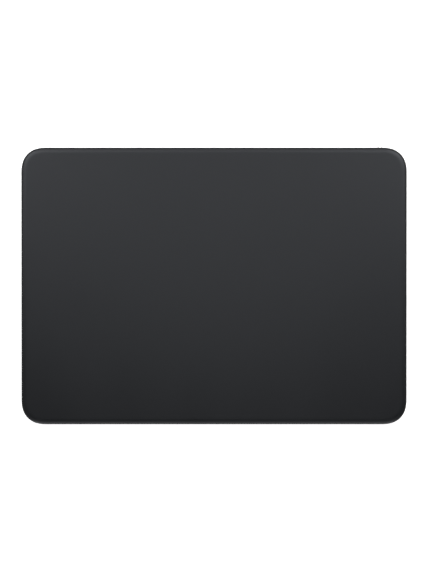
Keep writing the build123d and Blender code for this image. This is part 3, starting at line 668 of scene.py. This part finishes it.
def winding_ring(x, phase, half_y, half_z, bend, swell):
    """A rounded rectangle round the bar, swollen by its place in the turn."""
    ring = []
    for quarter, (side_y, side_z) in enumerate(quarter_signs):
        for i in range(points_per_corner):
            angle = quarter_turn * (quarter + i / (points_per_corner - 1))
            lay = swell * (cos(2 * pi * phase - angle) - 1)
            y = side_y * (half_y - bend) + (bend + lay) * cos(angle)
            z = side_z * (half_z - bend) + (bend + lay) * sin(angle)
            ring.append((x * mm, middle_y + y * mm, middle_z + z * mm))
    return ring


print("points on a ring:", len(winding_ring(0, 0, 1, 1, 0.1, 0)))

# %% [markdown]
# Six rings draw each turn of wire. Two more rings, close round the bar, join the far end to the
# near one through the middle, so that the coil is a closed body with a hole for the iron.

# %% Wound coils
turn_pitch, turn_swell, coil_length, rings_per_turn = 0.37, 0.05, 7.4, 6
half_y, half_z = (coil_high.y - coil_low.y) / mm / 2, (coil_high.z - coil_low.z) / mm / 2
coil_bend, hole_bend, wire_layers = 0.5, 0.1, 0.3
hole_half_y, hole_half_z = 2.55, half_z - wire_layers
ring_steps = round(coil_length / turn_pitch) * rings_per_turn
for side, start in (("left", coil_low.x / mm), ("right", coil_high.x / mm - coil_length)):
    rings = []
    for i in range(ring_steps + 1):
        x = start + coil_length * i / ring_steps
        rings.append(winding_ring(x, i / rings_per_turn, half_y, half_z, coil_bend, turn_swell))
    for x in (start + coil_length, start):
        rings.append(winding_ring(x, 0, hole_half_y, hole_half_z, hole_bend, 0))
    coil = bmesh.new()
    join_rings(coil, rings, closed=True)
    finish_piece("wound_coil_" + side, coil, copper_wire, "case",
                 ["haptic_coils"] if side == "left" else [], smooth=60)

# %% [markdown]
# Beside the large chips a board carries rows of tiny ceramic capacitors, soldered at both ends.
# A plain box would lose them among the chips. Each one is drawn as square rings along its
# length: the tin caps are a little thicker than the ceramic between them. All of them are one
# mesh, as they are one kind of part, and the long faces get the ceramic as a second finish.

# %% Capacitors on the logic board
ceramic = moulded("ceramic", (0.28, 0.17, 0.10), (0.34, 0.21, 0.13), 0.5, 0.1 * mm, 0.004 * mm)
tin = rolled("tin", (0.62, 0.61, 0.58), 0.30, (1, 1, 1), 0.1 * mm, 0.004 * mm)
board_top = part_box("logic_board")[1].z / mm
cap_pitch, left_start, right_start = 1.35, -29, 16.4
left_row, right_rows = 42.1, (43.1, 44.5)
cap_places = [(left_start + cap_pitch * i, left_row) for i in range(13)]
cap_places += [(right_start + cap_pitch * i, y) for i in range(5) for y in right_rows]
cap_length, cap_half, cap_end, end_bevel, waist = 1.0, 0.25, 0.24, 0.04, 0.03
cap_rings = [(0, cap_half - end_bevel), (end_bevel, cap_half), (cap_end, cap_half),
             (cap_end, cap_half - waist)]
cap_rings += [(cap_length - x, half) for x, half in reversed(cap_rings)]
square = ((-1, -1), (1, -1), (1, 1), (-1, 1))
capacitors = bmesh.new()
for left, y in cap_places:
    join_rings(capacitors, [[((left + x) * mm, (y + a * half) * mm,
                              (board_top + cap_half + b * half) * mm) for a, b in square]
                            for x, half in cap_rings])
rows = finish_piece("small_capacitors", capacitors, tin, "case", smooth=20)
rows.data.materials.append(ceramic)
for face in rows.data.polygons:
    xs = [rows.data.vertices[i].co.x / mm for i in face.vertices]
    if max(xs) - min(xs) > cap_length / 3:
        face.material_index = 1
print("capacitors:", len(cap_places))

# %% [markdown]
# Some parts of this trackpad work by bending. Each foot hangs on a flat steel arm that is
# screwed down at one end, and the weight of the actuator hangs between two leaf springs. A
# stiff copy would tear loose when the foot or the weight moves. Each spring is redrawn here
# with cuts across it every millimetre, from the end that the case holds toward the end that the
# moving part holds. It stays where the solid was and is not tied to the moving part. The solid
# comes in as triangles. Those that lie flat are first merged into whole faces, because cutting
# long thin triangles leaves slivers that show as stripes.

# %% Springs that bend
cut_every, same_point, lies_flat = 1.0 * mm, 1e-7, radians(2)


def bending_spring(name, node, fixed, moving):
    """A spring cut across its length, from its fixed end toward its moving end."""
    along = (moving - fixed).normalized()
    spring = bmesh.new()
    spring.from_mesh(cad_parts[node].data)
    bmesh.ops.remove_doubles(spring, verts=spring.verts, dist=same_point)
    bmesh.ops.dissolve_limit(spring, verts=spring.verts, edges=spring.edges,
                             angle_limit=lies_flat)
    for i in range(1, int((moving - fixed).length / cut_every)):
        bmesh.ops.bisect_plane(spring, geom=spring.verts[:] + spring.edges[:] + spring.faces[:],
                               plane_co=fixed + along * cut_every * i, plane_no=along)
    piece = finish_piece(name, spring, finishes["spring_steel"], replaced=[node], smooth=35)
    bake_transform(piece)


arm_head, arm_root = 5.0 * mm, 13.0 * mm
for place in corners:
    low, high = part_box("foot_pad_" + place)
    foot = (low + high) / 2
    inward = Vector((0, 1 if foot.y < 0 else -1, 0))
    bending_spring("spring_arm_" + place, "flexure_" + place,
                   fixed=foot + inward * arm_root, moving=foot + inward * arm_head)

# %% [markdown]
# The two leaf springs stand upright left and right of the weight, so that it can only shake
# sideways. Each one is held by the frame at one end and by the weight at the other.

# %% Leaf springs
leaf_half = 5.2 * mm
for side in ("left", "right"):
    low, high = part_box("leaf_spring_" + side)
    leaf = (low + high) / 2
    toward_weight = Vector((0, 1 if leaf.x > 0 else -1, 0))
    bending_spring("leaf_" + side, "leaf_spring_" + side,
                   fixed=leaf - toward_weight * leaf_half,
                   moving=leaf + toward_weight * leaf_half)

# %% [markdown]
# The switch shows at a glance that it is on: when the knob slides over, it uncovers a spot of
# green enamel on the housing behind the slot. Colour on the housing itself could do that, but
# enamel has a thickness that catches the light. The spot is a flat U round the groove in which
# the knob's pin travels, so the pin never rubs it off.

# %% Enamel mark behind the switch
enamel = moulded("green_enamel", (0.030, 0.30, 0.060), (0.040, 0.36, 0.075), 0.3,
                 grain=0.2 * mm, depth=0.003 * mm)
housing_low, housing_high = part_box("power_switch_housing")
mark_z, mark_back = (housing_low.z + housing_high.z) / 2, housing_high.y
mark_left, mark_right, groove_end = 67.8 * mm, 70.6 * mm, 69.7 * mm
mark_half, groove_half, mark_skin = 0.85 * mm, 0.62 * mm, 0.04 * mm
corners_of_mark = ((mark_left, -mark_half), (mark_right, -mark_half), (mark_right, mark_half),
                   (mark_left, mark_half), (mark_left, groove_half), (groove_end, groove_half),
                   (groove_end, -groove_half), (mark_left, -groove_half))
mark = bmesh.new()
join_rings(mark, [[(x, y, mark_z + z) for x, z in corners_of_mark]
                  for y in (mark_back, mark_back + mark_skin)])
finish_piece("switch_on_mark", mark, enamel, "case")

# %% [markdown]
# The studio is a light table, as small goods are often photographed on: a white sheet that
# glows a little, so that the shadow under the wedge stays pale. The sheet is wider than any
# view, and its finish has the faint unevenness of matt acrylic. Its lower side lets light
# through, so the feet can be looked at from below.

# %% Sheet that glows
white_sheet = start_finish("white_sheet", Specular_IOR_Level=0.1, Emission_Strength=0.8,
                           Emission_Color=(1.0, 1.0, 1.0, 1))
haze = cloud(white_sheet, 180 * mm)
dress(white_sheet,
      colour=two_colours(white_sheet, haze, (0.88, 0.88, 0.88), (0.91, 0.91, 0.91)),
      roughness=spread(white_sheet, haze, 0.8, 0.9))
see_through = add_node(white_sheet, "BsdfTransparent").outputs[0]
from_below = add_node(white_sheet, "NewGeometry").outputs["Backfacing"]
glow = shader_of(white_sheet).outputs[0]
one_way = add_node(white_sheet, "MixShader", {"Fac": from_below, 1: glow, 2: see_through})
surface = white_sheet.node_tree.nodes["Material Output"].inputs["Surface"]
white_sheet.node_tree.links.new(one_way.outputs[0], surface)

# %% [markdown]
# The floor itself is a plain grid. It belongs to the studio and not to the trackpad, and it lies
# a fiftieth of a millimetre under the feet, so that no two faces share one plane.

# %% Floor
half_sheet, under_feet = 6.0, 0.02 * mm
sheet = bmesh.new()
bmesh.ops.create_grid(sheet, x_segments=8, y_segments=8, size=half_sheet)
floor_mesh = bpy.data.meshes.new("floor")
sheet.to_mesh(floor_mesh)
sheet.free()
floor_mesh.materials.append(white_sheet)
floor = bpy.data.objects.new("floor", floor_mesh)
floor.location.z = -under_feet
bpy.context.scene.collection.objects.link(floor)
print("floor", 2 * half_sheet, "metres wide")

# %% [markdown]
# Satin glass shows a blurred image of whatever is above it. A wide box hangs close over the
# rear half of the trackpad: the rear of the glass mirrors it and the front looks past its rim,
# which gives the fade from rear to front. A small oval box lifts the middle of the front, and
# an oval one at each side lifts the rear ends. Those two hang a centimetre lower, because
# boxes that overlap in one plane hardly add up in a reflection. Two narrow boxes draw the thin
# bright lines on the rounding, one behind and high, and one in front and low, and a large dim
# box fills the gap between their reflections. Boxes are set by the brightness of their face,
# because that is what a reflection shows.

# %% Sky and soft boxes
sky = bpy.data.worlds.new("sky")
bpy.context.scene.world = sky
sky.use_nodes = True
sky_light = sky.node_tree.nodes["Background"].inputs
sky_light["Color"].default_value = (1.0, 1.0, 1.0, 1)
sky_light["Strength"].default_value = 0.16


def soft_box(name, place, size, brightness, aim=(0.0, 0.0, 0.0), shape="RECTANGLE"):
    """An area light with a set brightness of its face, turned to look at a point."""
    lamp = bpy.data.lights.new(name, "AREA")
    lamp.shape = shape
    lamp.size, lamp.size_y = size
    area = size[0] * size[1] * (pi / 4 if shape == "ELLIPSE" else 1)
    lamp.energy = brightness * pi * area
    box = bpy.data.objects.new(name, lamp)
    box.location = place
    box.rotation_mode = "QUATERNION"
    box.rotation_quaternion = (Vector(place) - Vector(aim)).to_track_quat("Z", "Y")
    box.visible_camera = False
    bpy.context.scene.collection.objects.link(box)
    print(name, "watts:", round(lamp.energy, 3))


def hung_box(name, x, y, height, size, brightness, shape="ELLIPSE"):
    """A soft box that hangs over the glass and looks straight down."""
    soft_box(name, (x, y, height), size, brightness, aim=(x, y, 0.0), shape=shape)


hung_box("overhead_box", 0.0, 0.128, 0.25, (0.70, 0.30), 1.50, "RECTANGLE")
hung_box("overhead_lobe", 0.0, -0.045, 0.25, (0.16, 0.05), 1.42)
hung_box("left_lobe", -0.155, 0.112, 0.24, (0.14, 0.16), 3.4)
hung_box("right_lobe", 0.155, 0.112, 0.24, (0.14, 0.16), 3.4)
soft_box("rear_strip", (0.0, 0.237, 0.90), (0.60, 0.05), 5.5)
soft_box("front_strip", (0.0, -1.1, 0.5), (1.2, 0.2), 5.5)
soft_box("front_fill", (0.0, -0.9, 0.9), (1.2, 0.8), 0.6)

# %% [markdown]
# The photograph looks straight down from far away, so nothing is drawn together. A long lens
# five metres up does the same. The height of the picture is the long side of the sensor, and
# the lens follows from the height of the field that the picture covers. The trackpad lies a
# hair off the middle of the picture, so the camera stands a hair off the middle too.

# %% Camera
picture_height_px, scale_mm = 571, 0.4158
far, sideways, rearward = 5.0, -0.02 * mm, 0.22 * mm
eye = bpy.data.cameras.new("overhead")
eye.sensor_width = 36.0
eye.lens = eye.sensor_width * far / (picture_height_px * scale_mm * mm)
eye.clip_start, eye.clip_end = 0.1, 30.0
overhead = bpy.data.objects.new("overhead", eye)
overhead.location = (sideways, rearward, far)
overhead.rotation_euler = Euler((0, 0, 0))
bpy.context.scene.collection.objects.link(overhead)
bpy.context.scene.camera = overhead
bpy.context.scene.view_settings.view_transform = "Standard"
print("lens in mm:", round(eye.lens, 1))
